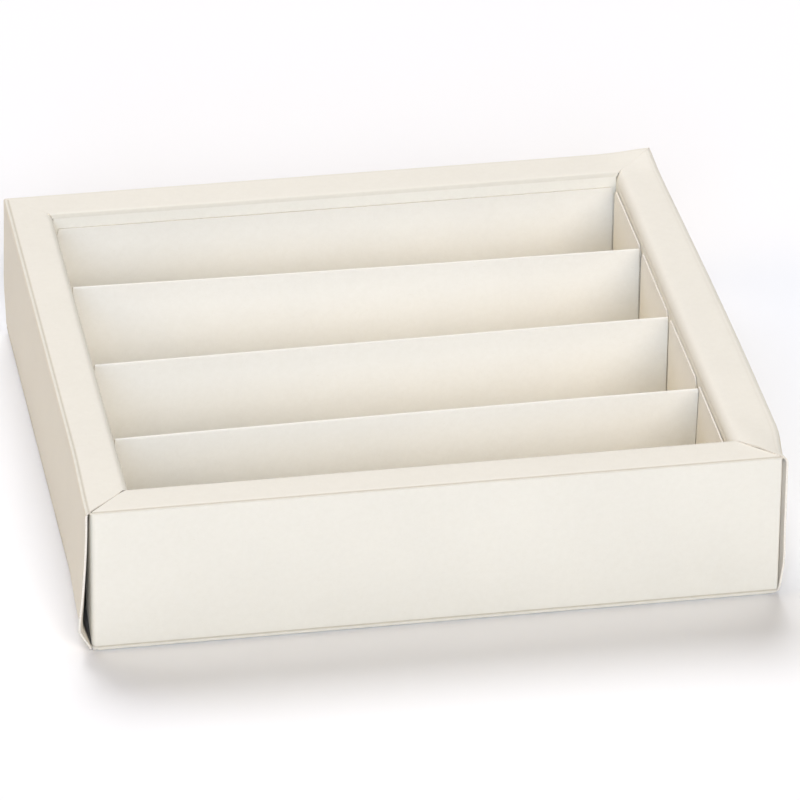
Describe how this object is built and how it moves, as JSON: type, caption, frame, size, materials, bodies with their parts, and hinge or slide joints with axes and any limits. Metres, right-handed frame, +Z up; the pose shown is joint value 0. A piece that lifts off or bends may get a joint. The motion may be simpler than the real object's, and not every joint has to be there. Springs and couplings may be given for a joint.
{
  "type": "divided board tray",
  "caption": "Shallow open tray of folded board with a flat mitred frame, hollow walls and a lift-out folded divider insert that forms long parallel lanes.",
  "frame": {"origin": "centre of the underside of the base", "axes": "+X along the lanes, +Y towards the rear, +Z up out of the open top"},
  "size_m": [0.15, 0.143, 0.034],
  "materials": {
    "tray_outside": "smooth coated white board, satin",
    "tray_inside": "uncoated side of the board, matt",
    "insert_board": "smooth coated white board, satin"
  },
  "bodies": {
    "base": {"base_panel": "tray_inside"},
    "front_wall": {"front_outer_wall": "tray_outside"},
    "front_frame": {"front_frame_top": "tray_outside"},
    "front_inner": {"front_inner_wall": "tray_inside", "front_foot_flap": "tray_inside"},
    "rear_wall": {"rear_outer_wall": "tray_outside"},
    "rear_frame": {"rear_frame_top": "tray_outside"},
    "rear_inner": {"rear_inner_wall": "tray_inside", "rear_foot_flap": "tray_inside"},
    "left_wall": {"left_outer_wall": "tray_outside"},
    "left_frame": {"left_frame_top": "tray_outside"},
    "left_inner": {"left_inner_wall": "tray_inside", "left_foot_flap": "tray_inside"},
    "right_wall": {"right_outer_wall": "tray_outside"},
    "right_frame": {"right_frame_top": "tray_outside"},
    "right_inner": {"right_inner_wall": "tray_inside", "right_foot_flap": "tray_inside"},
    "front_left_dust": {"front_left_dust_flap": "tray_inside"},
    "front_right_dust": {"front_right_dust_flap": "tray_inside"},
    "rear_left_dust": {"rear_left_dust_flap": "tray_inside"},
    "rear_right_dust": {"rear_right_dust_flap": "tray_inside"},
    "insert": {"lane_floor_1": "insert_board", "lane_floor_2": "insert_board", "lane_floor_3": "insert_board", "lane_floor_4": "insert_board"},
    "insert_front": {"insert_front_wall": "insert_board"},
    "insert_rear": {"insert_rear_wall": "insert_board"},
    "divider_1": {"divider_1_front_ply": "insert_board", "divider_1_rear_ply": "insert_board"},
    "divider_2": {"divider_2_front_ply": "insert_board", "divider_2_rear_ply": "insert_board"},
    "divider_3": {"divider_3_front_ply": "insert_board", "divider_3_rear_ply": "insert_board"},
    "left_flap_1": {"left_end_flap_1": "insert_board"},
    "left_flap_2": {"left_end_flap_2": "insert_board"},
    "left_flap_3": {"left_end_flap_3": "insert_board"},
    "left_flap_4": {"left_end_flap_4": "insert_board"},
    "right_flap_1": {"right_end_flap_1": "insert_board"},
    "right_flap_2": {"right_end_flap_2": "insert_board"},
    "right_flap_3": {"right_end_flap_3": "insert_board"},
    "right_flap_4": {"right_end_flap_4": "insert_board"}
  },
  "joints": [
    {"name": "front_wall_fold", "type": "hinge", "parent": "base", "child": "front_wall", "pos_m": [0, -0.0715, 0], "axis": [1, 0, 0], "range_deg": [0, 90]},
    {"name": "front_frame_fold", "type": "hinge", "parent": "front_wall", "child": "front_frame", "pos_m": [0, -0.0715, 0.034], "axis": [1, 0, 0], "range_deg": [0, 45]},
    {"name": "front_inner_fold", "type": "hinge", "parent": "front_frame", "child": "front_inner", "pos_m": [0, -0.0615, 0.034], "axis": [1, 0, 0], "range_deg": [-45, 0]},
    {"name": "rear_wall_fold", "type": "hinge", "parent": "base", "child": "rear_wall", "pos_m": [0, 0.0715, 0], "axis": [-1, 0, 0], "range_deg": [0, 90]},
    {"name": "rear_frame_fold", "type": "hinge", "parent": "rear_wall", "child": "rear_frame", "pos_m": [0, 0.0715, 0.034], "axis": [-1, 0, 0], "range_deg": [0, 45]},
    {"name": "rear_inner_fold", "type": "hinge", "parent": "rear_frame", "child": "rear_inner", "pos_m": [0, 0.0615, 0.034], "axis": [-1, 0, 0], "range_deg": [-45, 0]},
    {"name": "left_wall_fold", "type": "hinge", "parent": "base", "child": "left_wall", "pos_m": [-0.075, 0, 0], "axis": [0, -1, 0], "range_deg": [0, 90]},
    {"name": "left_frame_fold", "type": "hinge", "parent": "left_wall", "child": "left_frame", "pos_m": [-0.075, 0, 0.034], "axis": [0, -1, 0], "range_deg": [0, 45]},
    {"name": "left_inner_fold", "type": "hinge", "parent": "left_frame", "child": "left_inner", "pos_m": [-0.065, 0, 0.034], "axis": [0, -1, 0], "range_deg": [-45, 0]},
    {"name": "right_wall_fold", "type": "hinge", "parent": "base", "child": "right_wall", "pos_m": [0.075, 0, 0], "axis": [0, 1, 0], "range_deg": [0, 90]},
    {"name": "right_frame_fold", "type": "hinge", "parent": "right_wall", "child": "right_frame", "pos_m": [0.075, 0, 0.034], "axis": [0, 1, 0], "range_deg": [0, 45]},
    {"name": "right_inner_fold", "type": "hinge", "parent": "right_frame", "child": "right_inner", "pos_m": [0.065, 0, 0.034], "axis": [0, 1, 0], "range_deg": [-45, 0]},
    {"name": "front_left_dust_fold", "type": "hinge", "parent": "front_wall", "child": "front_left_dust", "pos_m": [-0.07402, -0.07097, 0], "axis": [0, 0, -1], "range_deg": [0, 85]},
    {"name": "front_right_dust_fold", "type": "hinge", "parent": "front_wall", "child": "front_right_dust", "pos_m": [0.07402, -0.07097, 0], "axis": [0, 0, 1], "range_deg": [0, 85]},
    {"name": "rear_left_dust_fold", "type": "hinge", "parent": "rear_wall", "child": "rear_left_dust", "pos_m": [-0.07402, 0.07097, 0], "axis": [0, 0, 1], "range_deg": [0, 85]},
    {"name": "rear_right_dust_fold", "type": "hinge", "parent": "rear_wall", "child": "rear_right_dust", "pos_m": [0.07402, 0.07097, 0], "axis": [0, 0, -1], "range_deg": [0, 85]},
    {"name": "insert_lift", "type": "slide", "parent": "base", "child": "insert", "axis": [0, 0, 1], "range_m": [0, 0.05]},
    {"name": "insert_front_lean", "type": "hinge", "parent": "insert", "child": "insert_front", "pos_m": [0, -0.061, 0.0008], "axis": [-1, 0, 0], "range_deg": [0, 8]},
    {"name": "insert_rear_lean", "type": "hinge", "parent": "insert", "child": "insert_rear", "pos_m": [0, 0.061, 0.0008], "axis": [1, 0, 0], "range_deg": [0, 8]},
    {"name": "divider_1_lean", "type": "hinge", "parent": "insert", "child": "divider_1", "pos_m": [0, -0.03062, 0.0008], "axis": [1, 0, 0], "range_deg": [-8, 8]},
    {"name": "divider_2_lean", "type": "hinge", "parent": "insert", "child": "divider_2", "pos_m": [0, 0, 0.0008], "axis": [1, 0, 0], "range_deg": [-8, 8]},
    {"name": "divider_3_lean", "type": "hinge", "parent": "insert", "child": "divider_3", "pos_m": [0, 0.03062, 0.0008], "axis": [1, 0, 0], "range_deg": [-8, 8]},
    {"name": "left_flap_1_fold", "type": "hinge", "parent": "insert", "child": "left_flap_1", "pos_m": [-0.0643, -0.04594, 0.001], "axis": [0, 1, 0], "range_deg": [0, 85]},
    {"name": "left_flap_2_fold", "type": "hinge", "parent": "insert", "child": "left_flap_2", "pos_m": [-0.0643, -0.01531, 0.001], "axis": [0, 1, 0], "range_deg": [0, 85]},
    {"name": "left_flap_3_fold", "type": "hinge", "parent": "insert", "child": "left_flap_3", "pos_m": [-0.0643, 0.01531, 0.001], "axis": [0, 1, 0], "range_deg": [0, 85]},
    {"name": "left_flap_4_fold", "type": "hinge", "parent": "insert", "child": "left_flap_4", "pos_m": [-0.0643, 0.04594, 0.001], "axis": [0, 1, 0], "range_deg": [0, 85]},
    {"name": "right_flap_1_fold", "type": "hinge", "parent": "insert", "child": "right_flap_1", "pos_m": [0.0643, -0.04594, 0.001], "axis": [0, -1, 0], "range_deg": [0, 85]},
    {"name": "right_flap_2_fold", "type": "hinge", "parent": "insert", "child": "right_flap_2", "pos_m": [0.0643, -0.01531, 0.001], "axis": [0, -1, 0], "range_deg": [0, 85]},
    {"name": "right_flap_3_fold", "type": "hinge", "parent": "insert", "child": "right_flap_3", "pos_m": [0.0643, 0.01531, 0.001], "axis": [0, -1, 0], "range_deg": [0, 85]},
    {"name": "right_flap_4_fold", "type": "hinge", "parent": "insert", "child": "right_flap_4", "pos_m": [0.0643, 0.04594, 0.001], "axis": [0, -1, 0], "range_deg": [0, 85]}
  ],
  "couplings": [
    {"joint": "front_inner_fold", "follows": "front_frame_fold", "ratio": -1},
    {"joint": "rear_inner_fold", "follows": "rear_frame_fold", "ratio": -1},
    {"joint": "left_inner_fold", "follows": "left_frame_fold", "ratio": -1},
    {"joint": "right_inner_fold", "follows": "right_frame_fold", "ratio": -1}
  ]
}
